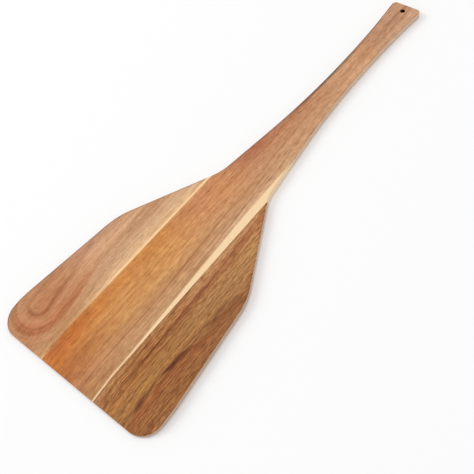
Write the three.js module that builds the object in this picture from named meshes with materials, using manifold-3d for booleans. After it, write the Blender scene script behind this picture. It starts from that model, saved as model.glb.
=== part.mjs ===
// Long-handled pizza peel: three solid acacia boards glued edge to edge.
// The two outer boards end at the shoulders. The centre board carries on past them as neck and handle.
//
// Millimetres. The peel lies flat with +Z up, and +Y runs from the blade's front edge to the handle's end.
// The origin is on the underside, halfway along the length and on the centre line.

import * as THREE from "three";
import { mergeVertices } from "three/addons/utils/BufferGeometryUtils.js";
import Module from "manifold-3d";

// ---------- driving dimensions ----------

const LENGTH = 880;
const BLADE_WIDTH = 306;
const THICKNESS = 12;

const BEVEL_LENGTH = 44; // the blade's top face slopes down over this length to its front edge
const FRONT_THICKNESS = 5;
const FRONT_EASE = 1.5; // small flat that takes the sharpness off the front edge
const EDGE_ROUND = 3; // radius along the rest of the edge, above and below

const LEFT_SEAM = -54.5; // the glued faces lie on these two planes of constant X
const RIGHT_SEAM = 52;
const GLUE_THICKNESS = 0.2;

const SHOULDER_HALF_WIDTH = 133; // where the blade's side turns in towards the neck
const NECK_HALF_WIDTH = 48; // where the slanted shoulder turns into the handle
const GRIP_HALF_WIDTH = 21.4; // the handle's narrowest stretch
const END_HALF_WIDTH = 28.4;

const HOLE_RADIUS = 4;
const HOLE_EASE = 0.5; // chamfer at both rims of the hanging hole
const HOLE_FROM_END = 17.5;

const ARC_STEPS = 6;
const ROUND_STEPS = 3;
const HOLE_STEPS = 32;
const OVERSHOOT = 5; // how far each cutting body reaches past the wood

// ---------- outline ----------

// Half of the outline, from the front edge to the handle's end. Each entry is the corner where two straight
// stretches would meet, with its distance from the front edge and the radius that rounds it.
const halfOutline = [
  { x: BLADE_WIDTH / 2, y: 0, radius: 32 },
  { x: BLADE_WIDTH / 2, y: 54, radius: 366 },
  { x: SHOULDER_HALF_WIDTH, y: 240, radius: 119 },
  { x: NECK_HALF_WIDTH, y: 399, radius: 89 },
  { x: GRIP_HALF_WIDTH, y: 604, radius: 1600 },
  { x: GRIP_HALF_WIDTH, y: 787, radius: 1485 },
  { x: END_HALF_WIDTH, y: LENGTH, radius: 8 },
];

function mirrored(corner) {
  return { ...corner, x: -corner.x };
}

// A closed outline through straight lines and tangent arcs, one arc for each corner.
function roundedOutline(corners) {
  const outline = new THREE.Shape();
  corners.forEach((corner, index) => {
    const before = corners[(index + corners.length - 1) % corners.length];
    const after = corners[(index + 1) % corners.length];
    const here = new THREE.Vector2(corner.x, corner.y);
    const back = new THREE.Vector2(before.x, before.y).sub(here).normalize();
    const ahead = new THREE.Vector2(after.x, after.y).sub(here).normalize();
    const halfAngle = Math.acos(back.dot(ahead)) / 2;
    const centre = back.clone().add(ahead).normalize();
    centre.multiplyScalar(corner.radius / Math.sin(halfAngle)).add(here);
    const reach = corner.radius / Math.tan(halfAngle);
    const start = back.multiplyScalar(reach).add(here).sub(centre);
    const end = ahead.multiplyScalar(reach).add(here).sub(centre);
    const clockwise = start.cross(end) < 0;
    outline.absarc(centre.x, centre.y, corner.radius, start.angle(), end.angle(), clockwise);
  });
  outline.closePath();
  return outline;
}

// ---------- joining and cutting ----------

const wasm = await Module();
wasm.setup();

function toSolid(geometry) {
  const bare = geometry.clone();
  bare.deleteAttribute("normal");
  bare.deleteAttribute("uv");
  const welded = mergeVertices(bare);
  return new wasm.Manifold(
    new wasm.Mesh({
      numProp: 3,
      vertProperties: new Float32Array(welded.attributes.position.array),
      triVerts: new Uint32Array(welded.index.array),
    }),
  );
}

function toGeometry(solid) {
  const mesh = solid.getMesh();
  const geometry = new THREE.BufferGeometry();
  geometry.setAttribute("position", new THREE.BufferAttribute(mesh.vertProperties, 3));
  geometry.setIndex(new THREE.BufferAttribute(mesh.triVerts, 1));
  geometry.computeVertexNormals();
  return geometry;
}

// ---------- the whole peel in one piece, before it is divided ----------

function blank() {
  const corners = [...halfOutline, ...halfOutline.map(mirrored).reverse()];
  const geometry = new THREE.ExtrudeGeometry(roundedOutline(corners), {
    depth: THICKNESS - 2 * EDGE_ROUND,
    curveSegments: ARC_STEPS,
    bevelThickness: EDGE_ROUND,
    bevelSize: EDGE_ROUND,
    bevelOffset: -EDGE_ROUND,
    bevelSegments: ROUND_STEPS,
  });
  geometry.translate(0, 0, EDGE_ROUND);
  return toSolid(geometry);
}

// What the bevel and the eased front edge take away: a prism across the blade's whole width.
function frontCutter() {
  const rise = (THICKNESS - FRONT_THICKNESS) / BEVEL_LENGTH;
  const top = THICKNESS + OVERSHOOT;
  const side = new THREE.Shape();
  side.moveTo(-OVERSHOOT, FRONT_THICKNESS - FRONT_EASE - OVERSHOOT);
  side.lineTo(FRONT_EASE, FRONT_THICKNESS + rise * FRONT_EASE);
  side.lineTo(BEVEL_LENGTH + OVERSHOOT / rise, top);
  side.lineTo(-OVERSHOOT, top);
  const width = BLADE_WIDTH + 2 * OVERSHOOT;
  const geometry = new THREE.ExtrudeGeometry(side, { depth: width, bevelEnabled: false });
  geometry.translate(0, 0, -width / 2);
  const alongY = new THREE.Vector3(0, 1, 0);
  const alongZ = new THREE.Vector3(0, 0, 1);
  const alongX = new THREE.Vector3(1, 0, 0);
  geometry.applyMatrix4(new THREE.Matrix4().makeBasis(alongY, alongZ, alongX));
  return toSolid(geometry);
}

// The hanging hole as a spool: straight through, and wider at both faces.
function holeCutter() {
  const wide = HOLE_RADIUS + HOLE_EASE + OVERSHOOT;
  const profile = [
    new THREE.Vector2(0, -OVERSHOOT),
    new THREE.Vector2(wide, -OVERSHOOT),
    new THREE.Vector2(HOLE_RADIUS, HOLE_EASE),
    new THREE.Vector2(HOLE_RADIUS, THICKNESS - HOLE_EASE),
    new THREE.Vector2(wide, THICKNESS + OVERSHOOT),
    new THREE.Vector2(0, THICKNESS + OVERSHOOT),
  ];
  const geometry = new THREE.LatheGeometry(profile, HOLE_STEPS);
  geometry.rotateX(Math.PI / 2); // the lathe's axis turns from +Y to +Z
  geometry.translate(0, LENGTH - HOLE_FROM_END, 0);
  return toSolid(geometry);
}

// ---------- the glued-up pieces ----------

const whole = blank().subtract(frontCutter()).subtract(holeCutter());

// One piece is the part of the peel between two planes of constant X.
function pieceBetween(name, lowX, highX, material) {
  const slab = new THREE.BoxGeometry(highX - lowX, LENGTH + 2 * OVERSHOOT, THICKNESS + 2 * OVERSHOOT);
  slab.translate((lowX + highX) / 2, LENGTH / 2, THICKNESS / 2);
  const piece = new THREE.Mesh(toGeometry(whole.intersect(toSolid(slab))), material);
  piece.name = name;
  return piece;
}

function oiledWood(color) {
  return new THREE.MeshStandardMaterial({ color, roughness: 0.55, metalness: 0 });
}

function curedGlue() {
  return new THREE.MeshStandardMaterial({ color: 0x8a6238, roughness: 0.4, metalness: 0 });
}

const outside = BLADE_WIDTH / 2 + OVERSHOOT;
const halfGlue = GLUE_THICKNESS / 2;

const peel = new THREE.Group();
peel.add(
  pieceBetween("left_board", -outside, LEFT_SEAM - halfGlue, oiledWood(0xbd8c66)),
  pieceBetween("left_glue_line", LEFT_SEAM - halfGlue, LEFT_SEAM + halfGlue, curedGlue()),
  pieceBetween("centre_board", LEFT_SEAM + halfGlue, RIGHT_SEAM - halfGlue, oiledWood(0xcd965f)),
  pieceBetween("right_glue_line", RIGHT_SEAM - halfGlue, RIGHT_SEAM + halfGlue, curedGlue()),
  pieceBetween("right_board", RIGHT_SEAM + halfGlue, outside, oiledWood(0xa06d43)),
);
peel.position.y = -LENGTH / 2;

export default peel;
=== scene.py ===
"""Looks of the long-handled pizza peel: oiled acacia boards, glue lines, studio floor, light and camera.

Metres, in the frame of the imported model: the peel lies flat, +Y runs from the blade's front edge to the
handle's end, and the origin is on the underside at the middle. Grain is worked out in millimetres, with
"along" counted from the front edge.
"""

import math

import bmesh
import bpy
from mathutils import Matrix, Vector, noise


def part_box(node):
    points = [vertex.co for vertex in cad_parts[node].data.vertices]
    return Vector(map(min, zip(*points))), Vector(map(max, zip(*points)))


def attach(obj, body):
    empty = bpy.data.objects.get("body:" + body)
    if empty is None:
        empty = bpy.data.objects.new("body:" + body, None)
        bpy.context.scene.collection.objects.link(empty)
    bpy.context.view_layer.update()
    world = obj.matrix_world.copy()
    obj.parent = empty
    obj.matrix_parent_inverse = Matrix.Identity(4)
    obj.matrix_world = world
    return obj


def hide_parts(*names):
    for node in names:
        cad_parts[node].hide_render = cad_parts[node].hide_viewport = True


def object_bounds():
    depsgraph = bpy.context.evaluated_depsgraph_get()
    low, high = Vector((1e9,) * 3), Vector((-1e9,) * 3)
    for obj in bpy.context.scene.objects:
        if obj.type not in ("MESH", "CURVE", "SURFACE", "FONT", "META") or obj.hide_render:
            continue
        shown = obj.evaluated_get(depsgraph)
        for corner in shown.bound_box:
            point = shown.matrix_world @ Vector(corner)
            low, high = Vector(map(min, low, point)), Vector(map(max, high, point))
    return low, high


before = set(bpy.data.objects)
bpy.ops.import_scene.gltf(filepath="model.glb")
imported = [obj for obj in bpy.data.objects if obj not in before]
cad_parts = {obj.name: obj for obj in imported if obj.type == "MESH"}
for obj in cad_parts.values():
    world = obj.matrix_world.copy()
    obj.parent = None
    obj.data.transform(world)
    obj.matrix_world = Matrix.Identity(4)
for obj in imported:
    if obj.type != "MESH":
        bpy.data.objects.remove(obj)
cad_low, cad_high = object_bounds()

MM = 0.001
LENGTH = cad_high.y - cad_low.y
WIDTH = cad_high.x - cad_low.x
THICKNESS = cad_high.z - cad_low.z
FRONT_Y = cad_low.y

# ---------- shape ----------

BEVEL_LENGTH = 44 * MM
FRONT_THICKNESS = 5 * MM
CREASE_REACH = 7 * MM  # the bevel blends into the flat top over this distance to each side
EDGE_RADIUS = 3 * MM
EDGE_WALL = 0.2 * MM  # least upright wall left between the two rounded edges
SANDING_DEPTH = 0.12 * MM  # how unevenly a hand-held sander leaves the top
SANDING_SPREAD = 70 * MM

SHOULDER_HALF_WIDTH = 133 * MM
NECK_HALF_WIDTH = 48 * MM
GRIP_HALF_WIDTH = 21.4 * MM
END_HALF_WIDTH = 28.4 * MM

HOLE_RADIUS = 4 * MM
HOLE_EASE = 0.8 * MM
HOLE_FROM_END = 17.5 * MM
HOLE_SIDES = 48
CUTTER_OVERLAP = 3 * MM  # how far the hole's cutter reaches past each face

ROW_SPACING = 5 * MM
ARC_STEP = math.radians(4)  # the most that the outline turns from one row to the next
COLUMNS = 44
ROUND_STEPS = 5  # facets round each rounded edge
SHARP_ANGLE = math.radians(40)
CUT_TOLERANCE = 1e-8

# Half of the outline: the corners between its straight stretches, as distance from the centre line,
# distance from the front edge, and the radius that rounds the corner.
HALF_OUTLINE = [
    (WIDTH / 2, 0, 32 * MM),
    (WIDTH / 2, 54 * MM, 366 * MM),
    (SHOULDER_HALF_WIDTH, 240 * MM, 119 * MM),
    (NECK_HALF_WIDTH, 399 * MM, 89 * MM),
    (GRIP_HALF_WIDTH, 604 * MM, 1600 * MM),
    (GRIP_HALF_WIDTH, 787 * MM, 1485 * MM),
    (END_HALF_WIDTH, LENGTH, 8 * MM),
]


def arc_stations(before, corner, after, radius):
    """Points with outward normals along the arc that rounds one corner of the right-hand outline."""
    back = (before - corner).normalized()
    ahead = (after - corner).normalized()
    half_angle = back.angle(ahead) / 2
    centre = corner + (back + ahead).normalized() * radius / math.sin(half_angle)
    spoke = corner + back * radius / math.tan(half_angle) - centre
    bulges = 1 if back.y * ahead.x > back.x * ahead.y else -1
    turn = bulges * (math.pi - 2 * half_angle)
    steps = max(2, math.ceil(abs(turn) / ARC_STEP), math.ceil(abs(turn) * radius / ROW_SPACING))
    stations = []
    for step in range(steps + 1):
        turned = Matrix.Rotation(turn * step / steps, 2) @ spoke
        stations.append((centre + turned, turned.normalized() * bulges))
    return stations


def half_outline_stations():
    """The right-hand outline from the front edge to the handle's end, closely spaced."""
    corners = [Vector((x, y)) for x, y, radius in HALF_OUTLINE]
    path = [Vector((0, 0)), *corners, Vector((0, LENGTH))]
    stations = []
    for before, (x, y, radius), after in zip(path, HALF_OUTLINE, path[2:]):
        arc = arc_stations(before, Vector((x, y)), after, radius)
        if stations:
            start, normal = stations[-1]
            straight = arc[0][0] - start
            pieces = max(1, math.ceil(straight.length / ROW_SPACING))
            stations += [(start + straight * k / pieces, normal) for k in range(1, pieces)]
        stations += arc
    return stations


def deck_height(x, y):
    """Height of the top face, where y is the distance from the front edge."""
    slope = (THICKNESS - FRONT_THICKNESS) / BEVEL_LENGTH
    past = y - BEVEL_LENGTH
    if past > CREASE_REACH:
        drop = 0
    elif past < -CREASE_REACH:
        drop = -slope * past
    else:
        drop = slope * (CREASE_REACH - past) ** 2 / (4 * CREASE_REACH)
    unevenness = (1 + noise.noise(Vector((x, y, 0)) / SANDING_SPREAD)) / 2
    return THICKNESS - drop - SANDING_DEPTH * unevenness


def top_radius(y):
    """Radius of the upper rounded edge, smaller where the bevel leaves less height."""
    return min(EDGE_RADIUS, deck_height(0, y) - EDGE_RADIUS - EDGE_WALL)


class Skin:
    """The peel's whole surface, as a grid above, a grid below and rings round the edge between them."""

    def __init__(self):
        self.mesh = bmesh.new()
        self.stations = half_outline_stations()
        self.rows = len(self.stations) - 1
        rings = [self.face_grid(top=True)]
        quarter = [math.pi / 2 * step / ROUND_STEPS for step in range(ROUND_STEPS)]
        for angle in reversed(quarter):
            rings.append([self.top_edge_vertex(place, angle) for place in self.loop()])
        for angle in quarter:
            rings.append([self.bottom_edge_vertex(place, angle) for place in self.loop()])
        rings.append(self.face_grid(top=False))
        for upper, lower in zip(rings, rings[1:]):
            for k, vertex in enumerate(upper):
                following = (k + 1) % len(upper)
                self.mesh.faces.new((lower[k], lower[following], upper[following], vertex))

    def loop(self):
        """Grid places once round the outline, anticlockwise from the front left corner."""
        front = [(0, column) for column in range(COLUMNS)]
        right = [(row, COLUMNS) for row in range(self.rows)]
        end = [(self.rows, column) for column in range(COLUMNS, 0, -1)]
        left = [(row, 0) for row in range(self.rows, 0, -1)]
        return front + right + end + left

    def outline_at(self, place):
        """Outline point and outward normal for a grid place, as seen from above."""
        row, column = place
        point, normal = self.stations[row]
        across = 2 * column / COLUMNS - 1
        if 0 < column < COLUMNS:
            normal = Vector((0, -1 if row == 0 else 1))
        elif column == 0:
            normal = Vector((-normal.x, normal.y))
        return Vector((point.x * across, point.y)), normal

    def vertex(self, x, y, z):
        """Makes a vertex, where y is the distance from the front edge."""
        return self.mesh.verts.new((x, y + FRONT_Y, z))

    def top_edge_vertex(self, place, angle):
        """A vertex on the upper rounded edge, with angle 0 at the wall and a right angle at the top."""
        point, normal = self.outline_at(place)
        radius = top_radius(point.y)
        rim = point - normal * radius
        around = point - normal * radius * (1 - math.cos(angle))
        return self.vertex(*around, deck_height(*rim) - radius * (1 - math.sin(angle)))

    def bottom_edge_vertex(self, place, angle):
        """A vertex on the lower rounded edge, with angle 0 at the wall and a right angle at the underside."""
        point, normal = self.outline_at(place)
        around = point - normal * EDGE_RADIUS * (1 - math.cos(angle))
        return self.vertex(*around, EDGE_RADIUS * (1 - math.sin(angle)))

    def face_grid(self, top):
        """Makes the top or bottom face, and gives its rim as a ring of vertices."""
        grid = []
        for point, normal in self.stations:
            rim = point - normal * (top_radius(point.y) if top else EDGE_RADIUS)
            row = []
            for column in range(COLUMNS + 1):
                x = rim.x * (2 * column / COLUMNS - 1)
                row.append(self.vertex(x, rim.y, deck_height(x, rim.y) if top else 0))
            grid.append(row)
        for near, far in zip(grid, grid[1:]):
            for column in range(COLUMNS):
                corners = [near[column], near[column + 1], far[column + 1], far[column]]
                self.mesh.faces.new(corners if top else reversed(corners))
        return [grid[row][column] for row, column in self.loop()]

    def cut(self, x, keep):
        """Cuts at a plane of constant x, and closes the kept side (1 right, -1 left) with a flat face."""
        everything = [*self.mesh.verts, *self.mesh.edges, *self.mesh.faces]
        outer = Vector((-keep, 0, 0))
        made = bmesh.ops.bisect_plane(
            self.mesh,
            geom=everything,
            dist=CUT_TOLERANCE,
            plane_co=(x, 0, 0),
            plane_no=outer,
            clear_outer=True,
        )
        rim = [e for e in made["geom_cut"] if isinstance(e, bmesh.types.BMEdge)]
        bmesh.ops.edgeloop_fill(self.mesh, edges=rim)


def finished_mesh(name, mesh):
    """Shades a bmesh smooth except at its sharp edges, and makes an object of it."""
    bmesh.ops.recalc_face_normals(mesh, faces=mesh.faces)
    for face in mesh.faces:
        face.smooth = True
    for edge in mesh.edges:
        edge.smooth = edge.calc_face_angle(0) < SHARP_ANGLE
    data = bpy.data.meshes.new(name)
    mesh.to_mesh(data)
    mesh.free()
    made = bpy.data.objects.new(name, data)
    bpy.context.scene.collection.objects.link(made)
    return made


def hole_cutter():
    """A spool with the hanging hole's straight wall and rounded rims."""
    wide = HOLE_RADIUS + HOLE_EASE
    profile = [(wide, -CUTTER_OVERLAP)]
    for step in range(ROUND_STEPS + 1):
        angle = math.pi / 2 * step / ROUND_STEPS
        profile.append((wide - HOLE_EASE * math.sin(angle), HOLE_EASE * (1 - math.cos(angle))))
    profile += [(radius, THICKNESS - height) for radius, height in reversed(profile)]
    mesh = bmesh.new()
    rings = []
    for radius, height in profile:
        ring = []
        for side in range(HOLE_SIDES):
            turn = 2 * math.pi * (side + 0.5) / HOLE_SIDES
            place = (radius * math.cos(turn), radius * math.sin(turn), height)
            ring.append(mesh.verts.new(place))
        rings.append(ring)
    for lower, upper in zip(rings, rings[1:]):
        for k in range(HOLE_SIDES):
            following = (k + 1) % HOLE_SIDES
            mesh.faces.new((lower[k], lower[following], upper[following], upper[k]))
    mesh.faces.new(reversed(rings[0]))
    mesh.faces.new(rings[-1])
    cutter = finished_mesh("hole_cutter", mesh)
    cutter.location = (0, cad_high.y - HOLE_FROM_END, 0)
    return cutter


def drill_hanging_hole(board):
    """Cuts the hole, and keeps the result as the board's own mesh."""
    cutter = hole_cutter()
    drilling = board.modifiers.new("hanging_hole", "BOOLEAN")
    drilling.object = cutter
    drilling.operation = "DIFFERENCE"
    drilling.solver = "EXACT"
    bpy.context.view_layer.update()
    evaluated = board.evaluated_get(bpy.context.evaluated_depsgraph_get())
    drilled = bpy.data.meshes.new_from_object(evaluated)
    board.modifiers.clear()
    board.data = drilled
    bpy.data.objects.remove(cutter)


def piece_between(name, low_x=None, high_x=None):
    """The stretch of the peel between two planes of constant x."""
    skin = Skin()
    if low_x is not None:
        skin.cut(low_x, keep=1)
    if high_x is not None:
        skin.cut(high_x, keep=-1)
    return finished_mesh(name, skin.mesh)


# ---------- camera ----------

CAMERA_AZIMUTH = math.radians(51.4)
CAMERA_ELEVATION = math.radians(55.8)
CAMERA_ROLL = math.radians(-15)
CAMERA_DISTANCE = 1.2 * LENGTH
LENS = 53.4
AIM = Vector((0.1746 * WIDTH, -0.1428 * LENGTH, THICKNESS))  # what the middle of the view looks at


def add_camera():
    """Looks down on the blade from beyond its front right corner, with the camera rolled."""
    flat = math.cos(CAMERA_ELEVATION)
    back = Vector(
        (math.sin(CAMERA_AZIMUTH) * flat, -math.cos(CAMERA_AZIMUTH) * flat, math.sin(CAMERA_ELEVATION))
    )
    level = Vector((math.cos(CAMERA_AZIMUTH), math.sin(CAMERA_AZIMUTH), 0))
    right = Matrix.Rotation(CAMERA_ROLL, 3, back) @ level
    up = back.cross(right)
    data = bpy.data.cameras.new("camera")
    data.lens = LENS
    camera = bpy.data.objects.new("camera", data)
    turned = Matrix((right, up, back)).transposed().to_4x4()
    camera.matrix_world = Matrix.Translation(AIM + back * CAMERA_DISTANCE) @ turned
    bpy.context.scene.collection.objects.link(camera)
    bpy.context.scene.camera = camera


# ---------- floor and light ----------

FLOOR_SIZE = 80 * LENGTH
FLOOR_COLOUR = (0.94, 0.94, 0.94, 1)
SKY_STRENGTH = 0.7
LIGHT_DISTANCE = 12 * LENGTH
# each soft light: the direction it stands in, its size and its watts
SOFT_LIGHTS = {
    "softbox_above": ((-0.05, 0.15, 1), 8 * LENGTH, 210),
    "softbox_left": ((-1, -0.4, 0.8), 6 * LENGTH, 360),
}


def add_floor():
    """A plain pale floor that reaches far beyond the view."""
    mesh = bmesh.new()
    bmesh.ops.create_grid(mesh, x_segments=1, y_segments=1, size=FLOOR_SIZE / 2)
    floor = finished_mesh("floor", mesh)
    floor.location.z = cad_low.z
    material = bpy.data.materials.new("pale_floor")
    material.use_nodes = True
    shader = material.node_tree.nodes["Principled BSDF"]
    shader.inputs["Base Color"].default_value = FLOOR_COLOUR
    shader.inputs["Roughness"].default_value = 1
    floor.data.materials.append(material)


def add_light(name, direction, size, watts):
    """A square soft light that shines on the origin from a direction."""
    data = bpy.data.lights.new(name, "AREA")
    data.shape = "SQUARE"
    data.size = size
    data.energy = watts
    light = bpy.data.objects.new(name, data)
    towards = Vector(direction).normalized()
    light.location = towards * LIGHT_DISTANCE
    light.rotation_mode = "QUATERNION"
    light.rotation_quaternion = towards.to_track_quat("Z", "Y")
    bpy.context.scene.collection.objects.link(light)


def add_studio():
    """A white sky and two soft lights, with colours shown as they are."""
    scene = bpy.context.scene
    scene.view_settings.view_transform = "Standard"
    scene.world = bpy.data.worlds.new("studio")
    scene.world.use_nodes = True
    background = scene.world.node_tree.nodes["Background"]
    background.inputs["Color"].default_value = (1, 1, 1, 1)
    background.inputs["Strength"].default_value = SKY_STRENGTH
    for name, (direction, size, watts) in SOFT_LIGHTS.items():
        add_light(name, direction, size, watts)


# ---------- shader building ----------


def linear(code):
    """A six-digit sRGB colour as the linear numbers that shaders use."""
    shares = [int(code[k : k + 2], 16) / 255 for k in (0, 2, 4)]
    return [s / 12.92 if s <= 0.04045 else ((s + 0.055) / 1.055) ** 2.4 for s in shares] + [1]


def feed(tree, socket, value):
    """Links a value to a socket if it comes from a node, or else sets it."""
    if isinstance(value, Field):
        value = value.socket
    if isinstance(value, bpy.types.NodeSocket):
        tree.links.new(value, socket)
    else:
        socket.default_value = value


def add_node(tree, kind, inputs, output=0, **settings):
    """Adds a node with its inputs and settings, and gives one of its outputs."""
    node = tree.nodes.new(kind)
    for setting, value in settings.items():
        setattr(node, setting, value)
    for socket, value in inputs.items():
        feed(tree, node.inputs[socket], value)
    return node.outputs[output]


class Field:
    """A number that varies over a surface, so that shader nodes can be written as sums and products."""

    def __init__(self, tree, socket):
        self.tree = tree
        self.socket = socket

    def math(self, operation, other=0.0):
        """Combines this with a number or another field in a Math node."""
        inputs = {0: self, 1: other}
        return Field(self.tree, add_node(self.tree, "ShaderNodeMath", inputs, operation=operation))

    def __add__(self, other):
        return self.math("ADD", other)

    def __sub__(self, other):
        return self.math("SUBTRACT", other)

    def __mul__(self, other):
        return self.math("MULTIPLY", other)

    def __truediv__(self, other):
        return self.math("DIVIDE", other)

    def size(self):
        return self.math("ABSOLUTE")

    def root(self):
        return self.math("SQRT")

    def at_least(self, least):
        return self.math("MAXIMUM", least)

    def at_most(self, most):
        return self.math("MINIMUM", most)

    def ease(self, low, high):
        """Rises smoothly from 0 at low to 1 at high, or falls if high is the smaller."""
        limits = {0: self, 1: low, 2: high}
        eased = add_node(self.tree, "ShaderNodeMapRange", limits, interpolation_type="SMOOTHSTEP")
        return Field(self.tree, eased)

    def near(self, centre, reach):
        """1 at the centre, falling to 0 at that reach to either side."""
        return (self - centre).size().ease(reach, 0)


def distance(across, along):
    """Length of the straight way that goes so far across and so far along."""
    return (across * across + along * along).root()


class Wood:
    """One board's material.

    x, along and up give a point's place in millimetres: from the centre line, from the blade's front edge
    and above the underside.
    """

    def __init__(self, name):
        self.material = bpy.data.materials.new(name)
        self.material.use_nodes = True
        self.tree = self.material.node_tree
        place = add_node(self.tree, "ShaderNodeTexCoord", {}, "Object")
        self.x, y, self.up = [part / MM for part in self.parts(place)]
        self.along = y - FRONT_Y / MM
        self.facing = self.parts(add_node(self.tree, "ShaderNodeNewGeometry", {}, "Normal"))
        self.colour = None

    def parts(self, vector):
        """The three components of a vector, as fields."""
        separate = "ShaderNodeSeparateXYZ"
        return [Field(self.tree, add_node(self.tree, separate, {0: vector}, axis)) for axis in "XYZ"]

    def noise(self, x, along, up, detail=2.0, roughness=0.5):
        """Cloudy noise from 0 to 1, about one cloud to each unit of the three coordinates."""
        vector = add_node(self.tree, "ShaderNodeCombineXYZ", {0: x, 1: along, 2: up})
        inputs = {"Vector": vector, "Scale": 1.0, "Detail": detail, "Roughness": roughness}
        return Field(self.tree, add_node(self.tree, "ShaderNodeTexNoise", inputs))

    def grain(self, across, width, length, detail=2.0, roughness=0.5):
        """Noise drawn out along the grain: streaks about so wide and so long."""
        return self.noise(across / width, self.along / length, self.up / (2 * width), detail, roughness)

    def wander(self, across, width, length, reach):
        """How far the grain strays from straight, up to half the reach to either side."""
        return (self.grain(across, width, length) - 0.5) * reach

    def bands(self, across, colours):
        """Colours across the board, given as place in millimetres to colour."""
        low, high = min(colours), max(colours)
        node = self.tree.nodes.new("ShaderNodeValToRGB")
        stops = node.color_ramp.elements
        while len(stops) < len(colours):
            stops.new(0.5)
        for stop, (place, code) in zip(stops, sorted(colours.items())):
            stop.position = (place - low) / (high - low)
            stop.color = linear(code)
        feed(self.tree, node.inputs[0], (across - low) / (high - low))
        return node.outputs[0]

    def mix(self, share, under, over, blend="MIX"):
        """Blends two colours, where share 0 is all under and 1 all over."""
        inputs = {0: share, 6: under, 7: over}
        return add_node(self.tree, "ShaderNodeMix", inputs, 2, data_type="RGBA", blend_type=blend)

    def cover(self, share, over):
        """Paints another colour over the wood, as far as share says."""
        self.colour = self.mix(share, self.colour, over)

    def tint(self, share, tint):
        """Multiplies the colour by a tint, as far as share says."""
        self.colour = self.mix(share, self.colour, tint, "MULTIPLY")

    def add_figure(self, rings, soft, striped, flecked, mottled):
        """Adds soft streaks, stripes, flecks and mottle as strongly as asked, then fibres and pores.

        rings is the place across the growth rings in millimetres.
        """
        figure = (self.grain(rings, width=10, length=300) - 0.5) * soft
        stripes = self.grain(self.x, width=1.6, length=90, detail=3, roughness=0.7)
        figure += (stripes - 0.5) * striped
        flecks = self.grain(self.x, width=1.2, length=14, roughness=0.6)
        figure += (flecks - 0.5) * flecked
        mottle = self.grain(self.x, width=5, length=14, detail=3)
        figure += (mottle - 0.5) * mottled
        fibre = self.grain(self.x, width=0.35, length=9)
        figure += (fibre - 0.5) * FIBRE_CONTRAST
        self.tint(1, self.mix(figure + 0.5, DARKEST_SHADE, LIGHTEST_SHADE))
        pores = self.grain(self.x, width=0.5, length=8, detail=1).ease(0.64, 0.72)
        self.tint(pores * PORE_DARKNESS, PORE)
        self.relief = (fibre - 0.5) * FIBRE_RELIEF - pores * PORE_DEPTH
        self.roughness = stripes * STRIPE_ROUGHNESS + pores * PORE_ROUGHNESS + OILED_ROUGHNESS

    def paint_side_light_shade_and_end_grain(self):
        """Pales the upright sides with their own tone and painted light, paints shade on the left edge's
        rounding, and darkens the end grain.
        """
        sideways, endways, upward = self.facing
        level = upward.size()  # 1 on the flat faces, 0 on the upright walls
        # painted light: the upright sides are paled, over their own paler tone
        self.cover(level.ease(0.7, 0.2) * WALL_TONE_AND_LIGHT_SHARE, WALL_TONE_AND_LIGHT)
        # painted shade: the rounding of the left edge is darkened, and the left wall below it a little
        rounding = level.ease(0.2, 0.45)
        faces_left = sideways.ease(-0.04, -0.3)
        self.tint(faces_left * (rounding * (1 - LEFT_WALL_SHADE_SHARE) + LEFT_WALL_SHADE_SHARE), LEFT_EDGE_SHADE)
        faces_an_end = endways.size().ease(0.75, 0.95)
        self.tint(faces_an_end, END_GRAIN)

    def finish(self):
        """Connects the shader: an oiled surface with a fine relief."""
        shader = self.tree.nodes["Principled BSDF"]
        shader.inputs["Specular IOR Level"].default_value = SHEEN
        feed(self.tree, shader.inputs["Base Color"], self.colour)
        feed(self.tree, shader.inputs["Roughness"], self.roughness)
        relief = {"Height": self.relief, "Strength": 1.0, "Distance": MM}
        feed(self.tree, shader.inputs["Normal"], add_node(self.tree, "ShaderNodeBump", relief))
        return self.material


# ---------- acacia ----------

# In the boards' functions every place, width and length is in millimetres, and every share runs from 0 to 1.
# Colours across a board are keyed by their distance from the centre line, negative to the left, and the
# tints of growth rings by their distance from the stem.

SHEEN = 0.2
OILED_ROUGHNESS = 0.42
STRIPE_ROUGHNESS = 0.12
PORE_ROUGHNESS = 0.15
FIBRE_CONTRAST = 0.5
FIBRE_RELIEF = 0.02  # millimetres
PORE_DEPTH = 0.06  # millimetres
PORE_DARKNESS = 0.7
# share of painted light and own paler tone on the upright sides
WALL_TONE_AND_LIGHT_SHARE = 0.5
# painted shade on the left wall, as a share of that on the rounding above it
LEFT_WALL_SHADE_SHARE = 0.2  # how far the left wall shares the dark of the rounding above it

# tints multiply the colour under them
DARKEST_SHADE = (0.58, 0.46, 0.36, 1)
LIGHTEST_SHADE = (1.37, 1.50, 1.61, 1)
PORE = (0.50, 0.40, 0.32, 1)
DARK_STREAK = (0.58, 0.44, 0.32, 1)
# painted shade on the rounding of the left edge
LEFT_EDGE_SHADE = (0.34, 0.32, 0.31, 1)
END_GRAIN = (0.62, 0.50, 0.42, 1)
# painted shade inside the hanging hole
HOLE_SHADE = (0.05, 0.035, 0.03, 1)
RUST = (0.88, 0.68, 0.64, 1)
# painted shade along the left side of the handle
HANDLE_LEFT_SHADE = (0.42, 0.47, 0.55, 1)
PALER = (1.17, 1.21, 1.26, 1)

# the upright sides' own paler tone, with painted light in it
WALL_TONE_AND_LIGHT = linear("F0D8C2")
SAPWOOD = linear("F6D6AA")
PALE_LINE = linear("F8D09C")
ORANGE = linear("C8742E")
GRIP = linear("D8A880")
HANDLE_END = linear("C09678")


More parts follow.
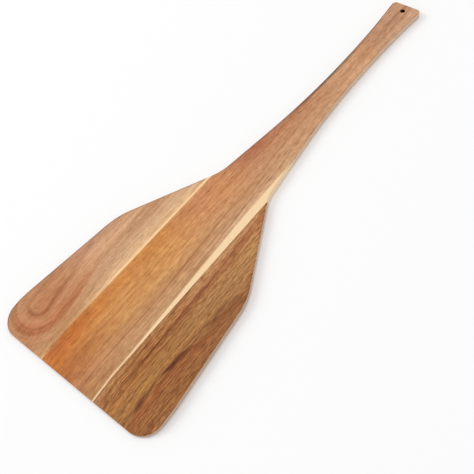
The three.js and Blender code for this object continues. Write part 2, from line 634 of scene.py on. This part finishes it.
def left_wood():
    """Pinkish brown, with growth rings round a stem that leans to the left towards the handle."""
    wood = Wood("left_acacia")
    drift = wood.wander(wood.x, width=60, length=240, reach=10)
    wiggle = wood.wander(wood.x, width=14, length=45, reach=5)
    across = wood.x + drift * 0.5
    front = {-148: "B68058", -128: "C0885E", -108: "BE8258", -84: "C0845A", -74: "C48E64", -58: "CC9864"}
    rear = {-134: "BC8A6A", -118: "CE9C76", -104: "CA9971", -84: "CC9E77", -73: "CEA37B", -58: "EEC092"}
    wood.colour = wood.mix(wood.along.ease(60, 180), wood.bands(across, front), wood.bands(across, rear))
    # the rings close, rounded, at the stem's end before the front edge
    stem_end = 57
    stem_from_centre = 120
    stem_lean = 0.19
    leaning_length = 110
    stem = (wood.along - stem_end).at_least(0).at_most(leaning_length) * -stem_lean - stem_from_centre
    beside = wood.x - stem
    rings = distance(beside, (wood.along * -1 + stem_end).at_least(0)) + drift + wiggle
    ring_tints = {
        0: "FFF6F0", 12: "FFF6F0", 17: "C4A68E", 22: "ECDCD0", 28: "FFFFFF", 32: "F0E0D6",
        35: "F8E6DA", 38: "EAD2BC", 41: "F4DCC8", 45: "E2C8B0", 48: "F0DCCC", 51: "FFFFFF",
    }
    # they are fainter on the stem's left
    clear = beside.ease(-30, 4) * 0.7 + 0.3
    wood.tint(clear * wood.along.ease(220, 70), wood.bands(rings, ring_tints))
    wood.add_figure(rings, soft=1, striped=1.1, flecked=0.9, mottled=0.3)
    wood.paint_side_light_shade_and_end_grain()
    # a pale line along the joint
    wood.cover(wood.x.ease(-60.5, -57) * wood.along.ease(20, 260) * 0.9, PALE_LINE)
    return wood.finish()


def colour_centre(wood, across):
    """The centre board's ground: orange at the front, tan further back, darker at the handle's end."""
    front = {
        -54: "BA6B2E", -40: "BA6427", -28: "BE6F2C", -22: "B86A2B", 4: "B6713D", 20: "B67A4E", 45: "B47E4E",
    }
    middle = {
        -54: "CE8B49", -40: "C88241", -28: "CF8F50", -4: "CE9055", 12: "C8925C", 20: "BC8457", 36: "C6966A",
    }
    rear = {
        -52: "C6875B", -40: "C68456", -20: "D0915F", -10: "CA8C5C", -3: "C2875A",
        6: "C68F62", 14: "CA9366", 24: "C8986E", 31: "D6A680", 38: "D6AC86",
    }
    handle = {
        -40: "B47C5A", -24: "B47955", -14: "C2885F", -3: "BC8660", 5: "C48F67",
        16: "CA9870", 22: "C8976E", 34: "D8AA82",
    }
    # the front's darker orange reaches further back beside the left joint
    slanted = wood.along + (wood.x.at_most(-20) + 20) * 1.2
    wood.colour = wood.mix(slanted.ease(0, 140), wood.bands(across, front), wood.bands(across, middle))
    wood.cover(wood.along.ease(220, 340), wood.bands(across, rear))
    wood.cover(wood.along.ease(370, 450), wood.bands(across, handle))
    clouds = wood.noise(wood.x / 16, wood.along / 40, wood.up / 16, detail=3).ease(0.42, 0.62)
    wood.cover(clouds * wood.x.ease(-18, -46) * wood.along.ease(200, 60) * 0.6, ORANGE)
    wood.tint(wood.x.near(-33, 18) * wood.along.near(468, 70), RUST)
    wood.cover(wood.along.near(690, 120) * 0.4, GRIP)
    wood.cover(wood.along.ease(740, 800) * 0.5, HANDLE_END)


def streak_centre(wood, across, drift):
    """Dark streaks: one at the handle's end, one along the handle, and lines that lean left towards it."""
    leaning_right = wood.x - (wood.along - 850) * 0.08
    wood.tint(leaning_right.near(-4, 6) * wood.along.ease(700, 800) * 0.45, DARK_STREAK)
    wood.tint(across.near(8, 7) * wood.along.ease(560, 640) * 0.3, DARK_STREAK)
    leaning = wood.x + drift * 0.15 + (wood.along - 150).at_least(0) * 0.065
    lines = wood.grain(leaning, width=1.3, length=200).ease(0.5, 0.62) * leaning.ease(10, 26)
    wood.tint(lines * wood.along.ease(40, 220) * wood.along.ease(700, 400) * 0.6, DARK_STREAK)
    for place, strength in ((-20, 0.25), (-13, 0.3), (24, 0.6)):
        wood.tint(leaning.near(place, 1.7) * wood.along.ease(500, 300) * strength, DARK_STREAK)


def centre_wood():
    """Tan to orange, with cream sapwood along the right joint."""
    wood = Wood("centre_acacia")
    drift = wood.wander(wood.x, width=60, length=240, reach=10)
    across = wood.x + drift * 0.4
    colour_centre(wood, across)
    streak_centre(wood, across, drift)
    wood.add_figure(wood.x + drift, soft=0.7, striped=0.9, flecked=0.8, mottled=0.8)
    # the sapwood widens steadily from the front to the neck
    sapwood_edge = (wood.along * -0.041 + 51.6).at_least(37).at_most(48.9)
    wood.cover((wood.x + drift * 0.1 - sapwood_edge).ease(-1, 2.5) * 0.92, SAPWOOD)
    # painted shade darkens the left side of the handle, whose outline is close to a parabola there
    waist = 715
    waist_half_width = 21.2
    waist_flatness = 3400
    from_waist = wood.along - waist
    inside_left_edge = wood.x + from_waist * from_waist / waist_flatness + waist_half_width
    wood.tint(inside_left_edge.ease(9, 3.5) * wood.along.near(665, 170), HANDLE_LEFT_SHADE)
    wood.paint_side_light_shade_and_end_grain()
    # painted shade: the wall of the hanging hole is nearly black
    from_hole = distance(wood.x, wood.along - (LENGTH - HOLE_FROM_END) / MM)
    wood.tint(from_hole.ease(HOLE_RADIUS / MM + 1, HOLE_RADIUS / MM), HOLE_SHADE)
    return wood.finish()


def streak_right(wood, across):
    """Dark streaks, dashes and slanted marks, and thin dark lines on a paler ground at the shoulder."""
    streak_tints = {
        50: "FFFFFF", 58: "FFF8F0", 61: "B59774", 64: "FFF6EC", 69: "FFF4E8", 73: "B49264", 77: "FFF6EC",
        92: "FFFFFF", 104: "FFF6EA", 108: "86583C", 112: "C09270", 117: "F0DCC8", 124: "FFFFFF",
    }
    broken = wood.grain(across, width=5, length=50).ease(0.35, 0.6)
    strength = wood.along.ease(450, 60) * (wood.along.ease(-20, 60) * 0.6 + 0.4)
    wood.tint(broken * strength, wood.bands(across, streak_tints))
    dashes = wood.grain(across, width=1.8, length=32, detail=3, roughness=0.6).ease(0.53, 0.62)
    wood.tint(dashes * across.near(66, 24) * wood.along.ease(300, 60) * 0.8, DARK_STREAK)
    slanted = wood.grain(wood.x - wood.along * 0.12, width=2, length=24).ease(0.54, 0.64)
    wood.tint(slanted * across.near(128, 24) * 0.8, DARK_STREAK)
    shoulder = wood.along.ease(190, 290)
    wood.tint(shoulder, PALER)
    lines = wood.grain(across, width=1.2, length=110).ease(0.46, 0.6)
    wood.tint(lines * shoulder * 0.55, DARK_STREAK)


def right_wood():
    """The darkest board, strongly streaked."""
    wood = Wood("right_acacia")
    drift = wood.wander(wood.x, width=60, length=240, reach=8)
    wiggle = wood.wander(wood.x, width=12, length=40, reach=4)
    # the figure bends to the right at the front, and fans out about a middle line towards the rear
    turning = 85
    bend_slope = 0.05
    fan_middle = 88
    fan_rate = 0.0018
    bend = (wood.along * -1 + turning).at_least(0) * bend_slope
    fan = (wood.along - turning).at_least(0) * (wood.x - fan_middle) * fan_rate
    across = wood.x + drift * 0.5 + wiggle - bend - fan
    front = {
        52: "B07C4C", 64: "B57C46", 76: "A96F38", 88: "9C6634", 98: "AC783F", 118: "985C2F", 140: "9E6636",
    }
    rear = {
        52: "AA784E", 60: "B07C52", 66: "B27E52", 71: "B07A4E", 75: "9E623A",
        79: "AE784A", 84: "B4824E", 90: "A27244", 104: "AA7848", 118: "9E683C",
    }
    wood.colour = wood.mix(wood.along.ease(80, 240), wood.bands(across, front), wood.bands(across, rear))
    streak_right(wood, across)
    wood.add_figure(wood.x + drift, soft=1.2, striped=2.4, flecked=2.7, mottled=0.4)
    wood.paint_side_light_shade_and_end_grain()
    return wood.finish()


GLUE_CLOUD = 6 * MM
GLUE_ROUGHNESS = 0.4
GLUE_DARK = linear("6E4526")
GLUE_PALE = linear("96683C")


def glue():
    """Cured wood glue, cloudy brown."""
    material = bpy.data.materials.new("cured_glue")
    material.use_nodes = True
    tree = material.node_tree
    shader = tree.nodes["Principled BSDF"]
    place = add_node(tree, "ShaderNodeTexCoord", {}, "Object")
    cloud = add_node(tree, "ShaderNodeTexNoise", {"Vector": place, "Scale": 1 / GLUE_CLOUD})
    inputs = {0: cloud, 6: GLUE_DARK, 7: GLUE_PALE}
    feed(tree, shader.inputs["Base Color"], add_node(tree, "ShaderNodeMix", inputs, 2, data_type="RGBA"))
    shader.inputs["Roughness"].default_value = GLUE_ROUGHNESS
    return material


# ---------- putting it together ----------

left_seam = [corner.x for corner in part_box("left_glue_line")]
right_seam = [corner.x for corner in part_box("right_glue_line")]


def add_piece(name, node, slot, material, low_x=None, high_x=None):
    """Makes the piece that shows in place of one CAD node."""
    piece = piece_between(name, low_x, high_x)
    piece.data.materials.append(material)
    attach(piece, "root")
    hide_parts(node)
    return piece


add_camera()
add_floor()
add_studio()

cured_glue = glue()
add_piece("left_board_wood", "left_board", "left_wood", left_wood(), high_x=left_seam[0])
add_piece("left_glue_film", "left_glue_line", "glue", cured_glue, *left_seam)
centre_span = (left_seam[1], right_seam[0])
centre = add_piece("centre_board_wood", "centre_board", "centre_wood", centre_wood(), *centre_span)
drill_hanging_hole(centre)
add_piece("right_glue_film", "right_glue_line", "glue", cured_glue, *right_seam)
add_piece("right_board_wood", "right_board", "right_wood", right_wood(), low_x=right_seam[1])
